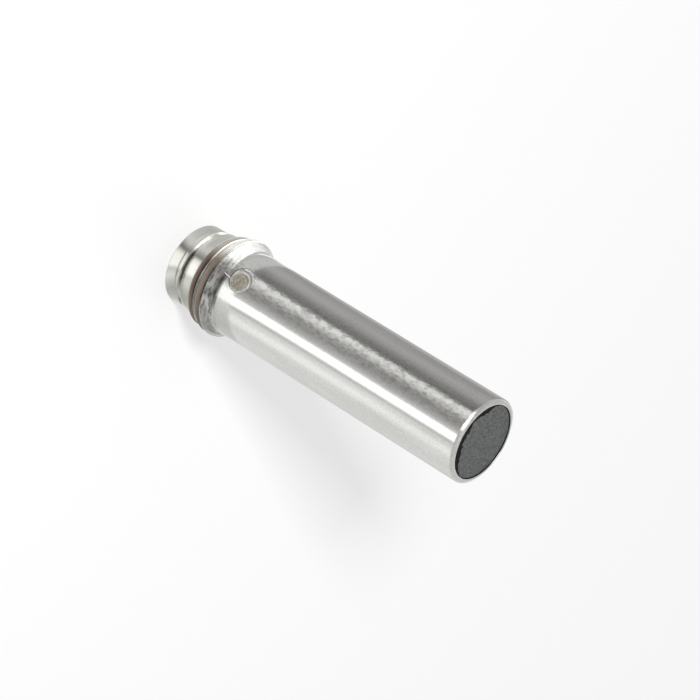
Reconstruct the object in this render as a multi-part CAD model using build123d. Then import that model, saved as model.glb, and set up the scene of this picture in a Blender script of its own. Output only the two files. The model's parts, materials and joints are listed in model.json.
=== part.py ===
from build123d import *
import os
from math import cos, radians, sin

# Smooth-barrel inductive proximity sensor, 8 mm, with a three-pin snap plug, in millimetres.
# It stands on the rim of its plug: the axis is Z, the sensing face is at the top,
# and the status light window looks along minus Y.

# Overall
overall_length = 34.2
fit = 0.02

# Barrel tube
barrel_dia = 8.0
tube_wall = 0.5
nose_round = 0.36
bore_break = 0.06
flange_proud = 0.65
flange_land = 0.22
flange_slope_length = 0.8
flange_round = 0.08
flange_fillet = 0.5

# Plug shell, from its rim upwards
rim_dia = 7.6
rim_length = 1.55
rim_chamfer = 0.15
groove_depth = 0.25
groove_length = 0.6
groove_slope = 0.22
neck_proud = 0.14
neck_length = 1.15
neck_chamfer = 0.08
collar_proud = 0.44
collar_length = 0.2
spigot_length = 1.35
spigot_wall = 0.43
socket_wall = 0.4
socket_depth = 3.9
ledge_step = 0.25
ledge_length = 0.7
coding_rib_width = 0.9
coding_rib_height = 0.3
coding_rib_start = 1.0

# Seal rings
seal_seat_depth = 0.5
plug_seal_section = 0.91
plug_seal_width = 0.78
tube_seal_section = 1.07
tube_seal_width = 0.8

# Contact carrier and pins
carrier_nose_length = 0.5
carrier_head = 0.55
carrier_chamfer = 0.08
pin_dia = 1.0
pin_circle_dia = 3.6
pin_tip_setback = 0.7
pin_tip_chamfer = 0.22
tail_dia = 0.6
tail_length = 2.9
tail_bend_radius = 0.35
pin_angles = {1: 210, 3: 330, 4: 90}
solder_film = 0.03
solder_length = 1.2
solder_thickness = 0.2
solder_chamfer = 0.16
solder_below_tip = 0.1

# Circuit board
board_thickness = 0.8
board_width = 5.2
board_slot_depth = 0.4
board_corner = 0.3

# Status light window
window_dia = 2.4
window_above_flange = 1.6
window_recess = 0.16
window_head_length = 0.66
window_stem_dia = 1.4
window_ring_count = 3
window_ring_step = 0.3
window_ring_width = 0.15
window_ring_depth = 0.09

# Sensing end
face_recess = 0.15
cap_thickness = 0.6
cap_wall = 0.3
cap_depth = 5.0
shield_wall = 0.15
shield_length = 3.6
core_gap = 0.06
core_height = 3.2
core_outer_wall = 0.52
core_slot_depth = 2.2
former_wall = 0.2
winding_setback = 0.21
winding_depth = 0.78
lead_dia = 0.16
lead_hole_dia = 0.4
lead_length = 4.0
holder_thickness = 1.6
holder_slot_depth = 0.8

# Parts on the board: size along X, stand-off height, length along Z
chip_size = (3.0, 0.8, 3.0)
transistor_size = (2.0, 0.7, 1.6)
diode_size = (1.4, 0.9, 2.6)
supply_capacitor_size = (1.6, 0.95, 3.2)
tuning_capacitor_size = (1.25, 0.8, 2.0)
trim_resistor_size = (1.6, 0.5, 3.2)
resistor_size = (0.8, 0.45, 1.6)
led_size = (0.6, 0.4, 1.0)
terminal_length = 0.35
terminal_proud = 0.03
package_chamfer = 0.08

# Their places: sideways from the middle of the board, and height above its rear end
transistor_place = (0, 6.2)
diode_place = (-1.0, 9.4)
trim_resistor_place = (0.2, 13.6)
supply_capacitor_place = (0, 7.6)
chip_place = (0, 12.0)
tuning_capacitor_place = (0, 16.4)
resistor_places = [(1.4, 9.2), (-1.2, 17.2), (1.2, 17.2)]

# Stations along Z that follow from the sizes above
groove_start = rim_length
neck_start = groove_start + groove_length
plug_seat_start = neck_start + neck_length
collar_start = plug_seat_start + plug_seal_width
tube_seat_start = collar_start + collar_length
flange_start = tube_seat_start + tube_seal_width
land_end = flange_start + flange_land
flange_front = land_end + flange_slope_length
spigot_end = flange_start + spigot_length
ledge_end = socket_depth + ledge_length
carrier_top = spigot_end + carrier_head
board_rear = carrier_top - board_slot_depth
face_z = overall_length - face_recess
core_front = face_z - cap_thickness - fit
core_back = core_front - core_height
slot_floor = core_front - core_slot_depth
former_bottom = slot_floor + fit
former_top = core_front - fit
holder_top = core_back - fit
holder_bottom = holder_top - holder_thickness
board_front = holder_bottom + holder_slot_depth
skirt_end = face_z - cap_depth
window_z = flange_front + window_above_flange

# Radii that follow: the flange and spigot from the barrel, the plug from its rim
barrel_r = barrel_dia / 2
bore_r = barrel_r - tube_wall
flange_r = barrel_r + flange_proud
spigot_r = bore_r - fit
carrier_seat_r = spigot_r - spigot_wall
rim_r = rim_dia / 2
groove_r = rim_r - groove_depth
socket_r = groove_r - socket_wall
ledge_r = min(socket_r, carrier_seat_r) - ledge_step
neck_r = rim_r + neck_proud
plug_seat_r = neck_r - seal_seat_depth
collar_r = neck_r + collar_proud
cap_r = bore_r - fit
cap_inner_r = cap_r - cap_wall
shield_outer_r = cap_inner_r - fit
shield_inner_r = shield_outer_r - shield_wall
holder_r = shield_inner_r - fit
core_r = shield_inner_r - core_gap
core_slot_outer_r = core_r - core_outer_wall
former_flange_r = core_slot_outer_r - fit
winding_r = former_flange_r - winding_setback
former_hub_r = winding_r - winding_depth
former_inner_r = former_hub_r - former_wall
core_post_r = former_inner_r - fit
lead_circle_r = (former_hub_r + winding_r) / 2
tail_r = tail_dia / 2
lead_r = lead_dia / 2

# A film of solder parts the board from the tails of pins 1 and 3 on its window side
pin_r = pin_circle_dia / 2
tail_stand_off = tail_r + solder_film
board_window_side = pin_r * sin(radians(pin_angles[1])) + tail_stand_off
board_back_side = board_window_side + board_thickness
board_y = board_window_side + board_thickness / 2


def turned(outline):
    """Solid turned about Z from (radius, height) points in order."""
    edge = Polyline(*[(r, 0, z) for r, z in outline], close=True)
    return revolve(make_face(edge), Axis.Z)


def rod(radius, bottom, top, x=0.0, y=0.0):
    """Upright round bar between two heights."""
    bar = Cylinder(radius, top - bottom, align=(Align.CENTER, Align.CENTER, Align.MIN))
    return Pos(x, y, bottom) * bar


def ring_edges(solid, radius, height):
    """Circular edges of a turned solid at one radius and height."""
    circles = solid.edges().filter_by(GeomType.CIRCLE)
    near = [
        e
        for e in circles
        if abs(e.radius - radius) < 0.001 and abs(e.arc_center.Z - height) < 0.001
    ]
    return near


def window_bar(radius, outer_y, inner_y):
    """Round bar across the barrel towards minus Y, at the window's height."""
    bar = Cylinder(radius, abs(outer_y - inner_y), rotation=(90, 0, 0))
    return Pos(0, (outer_y + inner_y) / 2, window_z) * bar


def make_barrel_tube():
    """Drawn steel tube with its rear end upset into a flange that slopes down to it."""
    tube = turned(
        [
            (bore_r, flange_start),
            (flange_r, flange_start),
            (flange_r, land_end),
            (barrel_r, flange_front),
            (barrel_r, overall_length),
            (bore_r, overall_length),
        ]
    )
    tube = fillet(ring_edges(tube, barrel_r, flange_front), flange_fillet)
    tube = fillet(ring_edges(tube, flange_r, land_end), flange_round)
    tube = fillet(ring_edges(tube, flange_r, flange_start), flange_round)
    tube = fillet(ring_edges(tube, barrel_r, overall_length), nose_round)
    tube = chamfer(ring_edges(tube, bore_r, overall_length), bore_break)
    return tube - window_bar(window_dia / 2, -barrel_dia, -bore_r / 2)


def make_connector_shell():
    """Turned plug shell: rim, snap groove, neck, two seal seats with a collar, spigot."""
    shell = turned(
        [
            (socket_r, 0),
            (rim_r - rim_chamfer, 0),
            (rim_r, rim_chamfer),
            (rim_r, groove_start),
            (groove_r, groove_start + groove_slope),
            (groove_r, neck_start - neck_chamfer),
            (neck_r - neck_chamfer, neck_start - neck_chamfer),
            (neck_r, neck_start),
            (neck_r, plug_seat_start - neck_chamfer),
            (neck_r - neck_chamfer, plug_seat_start),
            (plug_seat_r, plug_seat_start),
            (plug_seat_r, collar_start),
            (collar_r, collar_start),
            (collar_r, tube_seat_start),
            (spigot_r, tube_seat_start),
            (spigot_r, spigot_end),
            (carrier_seat_r, spigot_end),
            (carrier_seat_r, ledge_end),
            (ledge_r, ledge_end),
            (ledge_r, socket_depth),
            (socket_r, socket_depth),
        ]
    )
    rib_length = socket_depth - coding_rib_start
    rib = Box(coding_rib_width, 2 * coding_rib_height, rib_length)
    rib = Pos(0, -socket_r, coding_rib_start + rib_length / 2) * rib
    rib = rib & rod(socket_r + fit, 0, socket_depth)
    return shell + rib


def make_seal_ring(inner_r, section, width, bottom):
    """Moulded ring with a flat seat and a round crown."""
    outer_r = inner_r + section
    middle = bottom + width / 2
    half = width / 2 - fit
    shoulder = outer_r - half
    seat = Polyline(
        (shoulder, 0, middle - half),
        (inner_r, 0, middle - half),
        (inner_r, 0, middle + half),
        (shoulder, 0, middle + half),
    )
    crown = ThreePointArc(
        (shoulder, 0, middle + half),
        (outer_r, 0, middle),
        (shoulder, 0, middle - half),
    )
    return revolve(make_face([*seat.edges(), crown]), Axis.Z)


def pin_place(number):
    """Centre of a pin on its circle."""
    angle = radians(pin_angles[number])
    return pin_r * cos(angle), pin_r * sin(angle)


def board_blank(clearance=0.0, top=None):
    """Board blank, or the slot that takes it when given a clearance."""
    top = board_front if top is None else top
    width = board_width + 2 * clearance
    thickness = board_thickness + 2 * clearance
    blank = Box(width, thickness, top - board_rear)
    return Pos(0, board_y, (top + board_rear) / 2) * blank


def tail_side(pin_y):
    """Where a tail lies along Y: beside the board, on its pin's side."""
    if pin_y < board_y:
        return board_window_side - tail_stand_off
    return board_back_side + tail_stand_off


def make_contact_carrier():
    """Moulded insert that holds the pins: nose, flange on the ledge, board slot."""
    nose_r = ledge_r - fit
    seat_r = carrier_seat_r - fit
    body = turned(
        [
            (0, ledge_end - carrier_nose_length),
            (nose_r, ledge_end - carrier_nose_length),
            (nose_r, ledge_end + fit),
            (seat_r, ledge_end + fit),
            (seat_r, carrier_top),
            (0, carrier_top),
        ]
    )
    body = chamfer(ring_edges(body, seat_r, carrier_top), carrier_chamfer)
    for number in pin_angles:
        x, y = pin_place(number)
        body -= rod(pin_dia / 2 + fit / 2, 0, carrier_top - carrier_head, x, y)
        body -= rod(tail_r + fit / 2, 0, carrier_top + fit, x, y)
    return body - board_blank(fit)


def make_contact_pin(number):
    """Turned contact with a chamfered tip and a thinner tail laid on the board."""
    x, y = pin_place(number)
    step = carrier_top - carrier_head - fit
    pin = turned(
        [
            (0, pin_tip_setback),
            (pin_dia / 2 - pin_tip_chamfer, pin_tip_setback),
            (pin_dia / 2, pin_tip_setback + pin_tip_chamfer),
            (pin_dia / 2, step),
            (0, step),
        ]
    )
    pin = Pos(x, y, 0) * pin
    tail_top = carrier_top + tail_length
    side = tail_side(y)
    jog = abs(side - y)
    if jog < fit:
        return pin + rod(tail_r, step, tail_top, x, y)
    bend_start = carrier_top + tail_bend_radius
    route = FilletPolyline(
        (x, y, step),
        (x, y, bend_start),
        (x, side, bend_start + jog),
        (x, side, tail_top),
        radius=tail_bend_radius,
    )
    section = Plane(origin=(x, y, step), z_dir=(0, 0, 1)) * Circle(tail_r)
    return pin + sweep(section, route)


def make_solder_joint(number, pin, board):
    """Bead of solder over the end of one tail."""
    x, y = pin_place(number)
    side = tail_side(y)
    top = carrier_top + tail_length - solder_below_tip
    bead = rod(tail_r + solder_thickness, top - solder_length, top, x, side)
    bead = chamfer(bead.edges().filter_by(GeomType.CIRCLE), solder_chamfer)
    return bead - pin - board


def make_circuit_board():
    """Narrow board with its front corners cut off."""
    board = board_blank()
    corners = board.edges().filter_by(Axis.Y).group_by(Axis.Z)[-1]
    return chamfer(corners, board_corner)


def board_part(size, place, window_side, shift=0.0):
    """Plain block seated on one side of the board."""
    width, height, length = size
    y = board_window_side - height / 2 if window_side else board_back_side + height / 2
    return Pos(place[0], y, board_rear + place[1] + shift) * Box(width, height, length)


def make_package(size, place, window_side):
    """Moulded package with its top edges taken off."""
    body = board_part(size, place, window_side)
    top = body.faces().sort_by(Axis.Y)[0 if window_side else -1]
    return chamfer(top.edges(), package_chamfer)


def make_chip_part(size, place, window_side):
    """Resistor or capacitor: a body between two plated ends."""
    width, height, length = size
    body = board_part(size, place, window_side)
    plated = (width + 2 * terminal_proud, height + terminal_proud, terminal_length)
    for end in (-1, 1):
        shift = end * (length - terminal_length) / 2
        body += board_part(plated, place, window_side, shift)
    return body


def make_led_window():
    """Clear plug in the side hole, ringed on its face, with a stem down to the lamp."""
    face_y = -(barrel_r - window_recess)
    head_inner_y = face_y + window_head_length
    lamp_y = board_window_side - led_size[1] - fit
    head_r = window_dia / 2 - fit
    plug = window_bar(head_r, face_y, head_inner_y)
    for count in range(1, window_ring_count + 1):
        middle_r = count * window_ring_step
        floor_y = face_y + window_ring_depth
        groove = window_bar(middle_r + window_ring_width / 2, face_y - fit, floor_y)
        groove -= window_bar(middle_r - window_ring_width / 2, face_y - 2 * fit, floor_y + fit)
        plug -= groove
    return plug + window_bar(window_stem_dia / 2, head_inner_y - fit, lamp_y)


def make_sensing_face_cap():
    """Moulded cup whose floor is the sensing face."""
    return turned(
        [
            (0, face_z),
            (cap_r, face_z),
            (cap_r, skirt_end),
            (cap_inner_r, skirt_end),
            (cap_inner_r, face_z - cap_thickness),
            (0, face_z - cap_thickness),
        ]
    )


def make_shield_ring():
    """Thin brass ring between the cap and the core."""
    return turned(
        [
            (shield_inner_r, core_front - shield_length),
            (shield_outer_r, core_front - shield_length),
            (shield_outer_r, core_front),
            (shield_inner_r, core_front),
        ]
    )


def lead_places():
    """The two coil leads lie on the back side of the board."""
    y = board_back_side + solder_film + lead_r
    x = (lead_circle_r**2 - y**2) ** 0.5
    return [(-x, y), (x, y)]


def make_ferrite_core():
    """Pot core, open towards the sensing face, with two lead holes in its floor."""
    core = turned(
        [
            (0, core_back),
            (core_r, core_back),
            (core_r, core_front),
            (core_slot_outer_r, core_front),
            (core_slot_outer_r, slot_floor),
            (core_post_r, slot_floor),
            (core_post_r, core_front),
            (0, core_front),
        ]
    )
    for x, y in lead_places():
        core -= rod(lead_hole_dia / 2, core_back - fit, slot_floor + fit, x, y)
    return core


def make_coil_former():
    """Moulded bobbin with two thin flanges, notched for the leads."""
    bobbin = turned(
        [
            (former_inner_r, former_bottom),
            (former_flange_r, former_bottom),
            (former_flange_r, former_bottom + former_wall),
            (former_hub_r, former_bottom + former_wall),
            (former_hub_r, former_top - former_wall),
            (former_flange_r, former_top - former_wall),
            (former_flange_r, former_top),
            (former_inner_r, former_top),
        ]
    )
    for x, y in lead_places():
        notch_top = former_bottom + former_wall + fit
        bobbin -= rod(lead_hole_dia / 2, former_bottom - fit, notch_top, x, y)
    return bobbin


def make_coil_winding():
    """Turns of enamelled wire as one bundle."""
    bottom = former_bottom + former_wall + fit / 2
    top = former_top - former_wall - fit / 2
    return turned(
        [
            (former_hub_r + fit / 2, bottom),
            (winding_r, bottom),
            (winding_r, top),
            (former_hub_r + fit / 2, top),
        ]
    )


def make_coil_lead(x, y):
    """Straight end of the coil wire, from the winding to its pad on the board."""
    top = former_bottom + former_wall + fit / 2
    return rod(lead_r, top - lead_length, top, x, y)


def make_board_holder():
    """Disc behind the core that takes the front end of the board."""
    disc = rod(holder_r, holder_bottom, holder_top)
    disc -= board_blank(fit, board_front + fit)
    for x, y in lead_places():
        disc -= rod(lead_hole_dia / 2, holder_bottom - fit, holder_top + fit, x, y)
    return disc


def make_potting_resin(held):
    """Cast resin that fills the tube around everything it holds."""
    block = rod(bore_r - fit / 2, spigot_end + fit / 2, skirt_end - fit / 2)
    for piece in held:
        block -= piece
    return block.solids().sort_by(SortBy.VOLUME)[-1]


parts = {}
parts["barrel_tube"] = make_barrel_tube()
parts["connector_shell"] = make_connector_shell()
parts["plug_seal_ring"] = make_seal_ring(
    plug_seat_r + fit, plug_seal_section, plug_seal_width, plug_seat_start
)
parts["tube_seal_ring"] = make_seal_ring(
    spigot_r + fit, tube_seal_section, tube_seal_width, tube_seat_start
)
parts["contact_carrier"] = make_contact_carrier()
parts["circuit_board"] = make_circuit_board()
for pin_number in pin_angles:
    contact_pin = make_contact_pin(pin_number)
    parts[f"contact_pin_{pin_number}"] = contact_pin
    parts[f"solder_joint_{pin_number}"] = make_solder_joint(
        pin_number, contact_pin, parts["circuit_board"]
    )

led_place = (0, window_z - board_rear)
parts["status_led"] = board_part(led_size, led_place, True)
parts["led_window"] = make_led_window()
parts["output_transistor"] = make_package(transistor_size, transistor_place, True)
parts["protection_diode"] = make_package(diode_size, diode_place, True)
parts["trim_resistor"] = make_chip_part(trim_resistor_size, trim_resistor_place, True)
parts["supply_capacitor"] = make_chip_part(supply_capacitor_size, supply_capacitor_place, False)
parts["oscillator_chip"] = make_package(chip_size, chip_place, False)
parts["tuning_capacitor"] = make_chip_part(tuning_capacitor_size, tuning_capacitor_place, False)
for count, resistor_place in enumerate(resistor_places, 1):
    parts[f"resistor_{count}"] = make_chip_part(resistor_size, resistor_place, True)

parts["sensing_face_cap"] = make_sensing_face_cap()
parts["shield_ring"] = make_shield_ring()
parts["ferrite_core"] = make_ferrite_core()
parts["coil_former"] = make_coil_former()
parts["coil_winding"] = make_coil_winding()
for count, (lead_x, lead_y) in enumerate(lead_places(), 1):
    parts[f"coil_lead_{count}"] = make_coil_lead(lead_x, lead_y)
parts["board_holder"] = make_board_holder()

outer_parts = ("barrel_tube", "connector_shell", "plug_seal_ring", "tube_seal_ring")
held_parts = [piece for name, piece in parts.items() if name not in outer_parts]
parts["potting_resin"] = make_potting_resin(held_parts)

os.makedirs("parts", exist_ok=True)
for name, piece in parts.items():
    export_step(piece, f"parts/{name}.step")
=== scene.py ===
import json
import math

import bmesh
import bpy
from mathutils import Matrix, Quaternion, Vector, noise


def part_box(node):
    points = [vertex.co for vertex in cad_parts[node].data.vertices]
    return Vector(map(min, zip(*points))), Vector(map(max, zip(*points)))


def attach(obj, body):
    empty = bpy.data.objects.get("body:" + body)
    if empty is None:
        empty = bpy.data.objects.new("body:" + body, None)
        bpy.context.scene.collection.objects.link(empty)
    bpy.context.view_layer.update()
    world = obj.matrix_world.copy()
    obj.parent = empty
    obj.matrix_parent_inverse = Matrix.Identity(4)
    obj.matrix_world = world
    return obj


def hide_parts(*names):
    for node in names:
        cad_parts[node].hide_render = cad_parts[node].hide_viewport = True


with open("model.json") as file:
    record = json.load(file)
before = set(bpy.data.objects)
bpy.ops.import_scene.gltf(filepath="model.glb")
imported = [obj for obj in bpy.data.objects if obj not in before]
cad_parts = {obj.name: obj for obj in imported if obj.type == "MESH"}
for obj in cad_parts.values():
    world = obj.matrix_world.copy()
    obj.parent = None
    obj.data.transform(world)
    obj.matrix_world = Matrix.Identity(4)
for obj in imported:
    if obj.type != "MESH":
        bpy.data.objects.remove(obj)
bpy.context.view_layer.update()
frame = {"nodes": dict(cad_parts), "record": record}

# The sensor is 34 mm long, so sizes here are in millimetres, and MM turns them to metres.
# It stands on the rim of its plug with the sensing face up, and the camera is rolled.
MM = 0.001


# Camera
# A long lens looks down on the sensor from its side. It is rolled so that the barrel runs from
# the upper left of the picture to the lower right.
lens_mm = 154.29
sensor_mm = 36.0
camera_azimuth = math.radians(-76.52)
camera_elevation = math.radians(31.36)
camera_roll = math.radians(121.73)
camera_distance = 257.46 * MM
aim = Vector((-0.68, -0.16, 18.45)) * MM


def toward(side, up):
    """Unit vector at an angle round from the camera, and at a height above the floor, in degrees."""
    azimuth = camera_azimuth + math.radians(side)
    rise = math.radians(up)
    flat = math.cos(rise)
    return Vector((flat * math.cos(azimuth), flat * math.sin(azimuth), math.sin(rise)))


camera_data = bpy.data.cameras.new("camera")
camera_data.lens = lens_mm
camera_data.sensor_width = sensor_mm
camera_data.clip_start = 10 * MM
camera = bpy.data.objects.new("camera", camera_data)
bpy.context.scene.collection.objects.link(camera)
sight = toward(0, math.degrees(camera_elevation))
camera.location = aim + camera_distance * sight
upright = sight.to_track_quat("Z", "Y")
camera.rotation_mode = "QUATERNION"
camera.rotation_quaternion = upright @ Quaternion((0, 0, 1), camera_roll)
bpy.context.scene.camera = camera
bpy.context.scene.view_settings.view_transform = "Standard"


# Floor and world
# A white table top, painted matt, under a pale room. To the eye the table is part lit from within,
# which softens the shadow on it, and the room is white, as it is in polished metal.
floor_radius = 3000
floor_white = "#fbfbfb"
room_grey = "#8a8a8a"


def paint(code):
    """Linear colour with alpha from an sRGB hex value."""
    parts = [int(code[i : i + 2], 16) / 255 for i in (1, 3, 5)]
    return [c / 12.92 if c <= 0.04045 else ((c + 0.055) / 1.055) ** 2.4 for c in parts] + [1.0]


def add(tree, kind, settings=(), values=(), links=()):
    """New shader node with its settings, socket values and incoming links."""
    made = tree.nodes.new("ShaderNode" + kind)
    for name, value in dict(settings).items():
        setattr(made, name, value)
    for name, value in dict(values).items():
        made.inputs[name].default_value = value
    for name, source in dict(links).items():
        tree.links.new(source, made.inputs[name])
    return made


def new_material(name):
    """Empty material and its node tree."""
    material = bpy.data.materials.new(name)
    material.use_nodes = True
    material.node_tree.nodes.clear()
    return material, material.node_tree


def piece_from(name, bm, material, sharp=35):
    """Object made from a bmesh in millimetres, smooth shaded up to a fold in degrees."""
    bmesh.ops.scale(bm, vec=(MM, MM, MM), verts=bm.verts)
    mesh = bpy.data.meshes.new(name)
    bm.to_mesh(mesh)
    bm.free()
    mesh.shade_smooth()
    mesh.set_sharp_from_angle(angle=math.radians(sharp))
    mesh.materials.append(material)
    made = bpy.data.objects.new(name, mesh)
    bpy.context.scene.collection.objects.link(made)
    weighted = made.modifiers.new("flat_faces_stay_flat", "WEIGHTED_NORMAL")
    weighted.keep_sharp = True
    return made


table_paint, tree = new_material("matt_white_table")
shader = add(tree, "BsdfPrincipled", values={
    "Base Color": paint(floor_white), "Roughness": 0.9, "Specular IOR Level": 0.1,
})
glow = add(tree, "Emission", values={"Color": paint("#ffffff"), "Strength": 1.0})
eye = add(tree, "LightPath")
glow_share = add(tree, "Math", {"operation": "MULTIPLY"}, {1: 0.5}, {
    0: eye.outputs["Is Camera Ray"],
})
look = add(tree, "MixShader", links={
    0: glow_share.outputs[0], 1: shader.outputs[0], 2: glow.outputs[0],
})
add(tree, "OutputMaterial", links={"Surface": look.outputs[0]})
bm = bmesh.new()
bmesh.ops.create_circle(bm, cap_ends=True, radius=floor_radius, segments=64)
floor = piece_from("floor", bm, table_paint)

world = bpy.data.worlds.new("room")
bpy.context.scene.world = world
world.use_nodes = True
tree = world.node_tree
tree.nodes.clear()
eye = add(tree, "LightPath")
room = add(tree, "Background", values={"Color": paint(room_grey), "Strength": 1.0})
white = add(tree, "Background", values={"Color": paint("#ffffff"), "Strength": 1.0})
shown = eye.outputs["Is Camera Ray"]
for ray in ("Is Glossy Ray", "Is Transmission Ray"):
    either = add(tree, "Math", {"operation": "MAXIMUM"}, links={0: shown, 1: eye.outputs[ray]})
    shown = either.outputs[0]
seen = add(tree, "MixShader", links={0: shown, 1: room.outputs[0], 2: white.outputs[0]})
add(tree, "OutputWorld", links={"Surface": seen.outputs[0]})


# Lamps
# Three soft boxes: one overhead, one beside the camera that throws the soft shadow along the
# barrel, and one behind. Metal shows the cards below in their place.
lamps = {
    "overhead_box": {"side": -95, "up": 86, "distance": 500, "size": 500, "watts": 0.78},
    "camera_side_box": {"side": -13, "up": 34, "distance": 500, "size": 80, "watts": 2.2},
    "back_box": {"side": 178, "up": 34, "distance": 420, "size": 220, "watts": 0.25},
}
for name, lamp in lamps.items():
    data = bpy.data.lights.new(name, "AREA")
    data.shape = "SQUARE"
    data.size = lamp["size"] * MM
    data.energy = lamp["watts"]
    made = bpy.data.objects.new(name, data)
    bpy.context.scene.collection.objects.link(made)
    made.visible_glossy = False
    made.location = aim + toward(lamp["side"], lamp["up"]) * lamp["distance"] * MM
    made.rotation_euler = toward(lamp["side"], lamp["up"]).to_track_quat("Z", "Y").to_euler()


# Cards
# Grey and white cards ring the sensor, some within 0.1 mm of it, and show only as reflections.
# Each band is a ring about the axis, from (radius, height) to (radius, height). Its stops give the
# brightness at angles round from the camera, set against the bands on the photographed steel.
card_strength = 4.0
card_warm_below = 0.6
card_warm = (1.0, 0.962, 0.975)
card_bands = {
    "rim_cards": {
        "line": [(3.85, 0.02), (5.57, 0.02), (5.68, 0.46)],
        "stops": {
            -120: 0.75, -70: 0.66, -43: 0.77, -31: 0.92, -25: 0.85, -19: 0.55, -12: 0.24,
            -6: 0.9, 0: 1.4, 19: 1.5, 25: 0.85, 37: 1.1, 50: 0.78, 62: 0.6, 76: 0.66, 90: 0.8,
            105: 1.0,
        },
    },
    "groove_cards": {
        "line": [(5.68, 0.46), (5.8, 0.66)],
        "stops": {
            -120: 0.7, -70: 0.8, -50: 1.1, -36: 1.1, -20: 0.6, -10: 0.2, -5: 0.0, 0: 0.04,
            6: 0.1, 22: 0.1, 32: 0.0, 40: 0.4, 55: 0.5, 90: 0.5, 112: 0.8,
        },
    },
    "neck_cards": {
        "line": [(5.8, 0.66), (6.5, 1.95)],
        "stops": {
            -120: 0.85, -100: 0.7, -47: 0.7, -34: 0.85, -27: 0.85, -20: 0.55, -13: 0.3, -5: 1.3,
            4: 1.6, 20: 1.6, 27: 1.0, 40: 1.0, 54: 0.76, 70: 0.6, 85: 0.68, 93: 0.72, 100: 0.8,
            110: 1.0, 120: 1.4,
        },
    },
    "ring_cards": {
        "line": [(6.5, 1.95), (6.8, 2.5)],
        "stops": {
            -130: 4.0, -55: 4.0, -35: 1.6, -15: 0.2, 0: 0.3, 10: 0.4, 25: 0.15, 40: 0.2, 85: 0.3,
            112: 0.8,
        },
    },
    "collar_cards": {
        "line": [(6.8, 2.5), (7.05, 2.96)],
        "stops": {
            -130: 4.0, -55: 4.0, -35: 1.6, -15: 0.45, 0: 0.6, 10: 0.45, 20: 0.15, 85: 0.15,
            105: 0.4, 118: 0.8,
        },
    },
    "land_cards": {
        "line": [(7.05, 2.96), (7.25, 3.33)],
        "tint": (1.0, 0.8, 0.64),
        "stops": {
            -120: 1.4, -75: 1.4, -60: 0.9, -45: 0.6, -22: 0.25, -14: 0.04, 0: 0.0, 30: 0.02,
            38: 0.1, 52: 0.2, 80: 0.15, 100: 0.3, 115: 0.9,
        },
    },
    "foot_cards": {
        "line": [(7.25, 3.33), (7.51, 3.8)],
        "tint": (1.0, 0.8, 0.64),
        "stops": {
            -120: 0.62, -105: 0.6, -90: 0.62, -45: 0.64, -22: 0.25, -14: 0.04, 0: 0.0, 30: 0.02,
            38: 0.25, 48: 0.6, 60: 0.68, 82: 0.68, 110: 0.7,
        },
    },
    "root_cards": {
        "line": [(7.51, 3.8), (8.2, 5.05)],
        "stops": {
            -150: 1.1, -136: 1.0, -125: 0.8, -115: 0.7, -90: 0.74, -45: 0.8, -38: 0.75, -30: 0.5,
            -10: 0.48, -4: 0.7, 2: 1.1, 10: 1.6, 28: 1.6, 33: 1.0, 45: 0.88, 60: 0.8, 82: 0.74,
            95: 0.74, 120: 0.74,
        },
    },
    "barrel_cards": {
        "line": [(8.2, 5.05), (12.0, 12.0), (13.2, 33.5)],
        "stops": {
            -150: 0.7, -141: 0.55, -134: 0.6, -115: 0.42, -84: 0.54, -72: 0.49, -58: 0.33,
            -46: 0.25, -41: 0.5, -37: 1.15, -32: 1.15, -24: 0.82, -17: 0.5, -8: 0.41, 0: 0.5,
            8: 0.66, 13.5: 0.85, 15.5: 1.8, 29.5: 1.8, 32: 0.85, 35: 0.68, 40: 0.98, 46: 1.04,
            52: 1.22, 60: 1.26, 72: 1.0, 110: 0.96, 134: 0.82, 150: 0.7,
        },
    },
    "nose_cards": {
        "line": [(13.2, 33.5), (13.3, 38.0)],
        "stops": {
            -170: 2.0, -158: 1.0, -70: 0.6, -45: 0.75, -39: 2.0, 0: 2.0, 5: 0.6, 60: 0.8,
            150: 0.9, 170: 2.0,
        },
    },
    "dome_cards": {
        "line": [(13.3, 38.0), (14.0, 75.0)],
        "stops": {
            -150: 0.75, -115: 0.72, -95: 0.65, -51: 0.65, -44: 2.0, 0: 2.0, 5: 0.7, 60: 0.75,
            150: 0.8,
        },
    },
    "corner_cards": {
        "line": [(4.05, 6.35), (4.67, 6.2)],
        "stops": {
            -120: 0.9, -90: 0.9, -75: 1.2, -65: 1.6, -50: 1.6, -32: 1.3, -22: 0.75, -11: 0.4,
            0: 0.25, 9: 0.4, 17: 0.35, 24: 0.5, 33: 0.95, 50: 0.85, 66: 0.7, 85: 0.6, 120: 0.4,
        },
        "seen_from": "below",
    },
    "flange_cards": {
        "line": [(4.67, 6.2), (8.3, 5.3)],
        "stops": {
            -150: 1.2, -115: 1.3, -92: 1.4, -70: 1.8, -52: 2.2, -34: 2.0, -27: 1.1, -22: 0.7,
            -14: 0.45, -6: 0.4, 2: 0.5, 12: 0.6, 20: 0.35, 26: 0.35, 32: 0.75, 40: 0.7, 46: 0.4,
            54: 0.5, 70: 0.5, 92: 0.4, 115: 0.3, 150: 0.25,
        },
        "seen_from": "below",
    },
}
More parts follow.
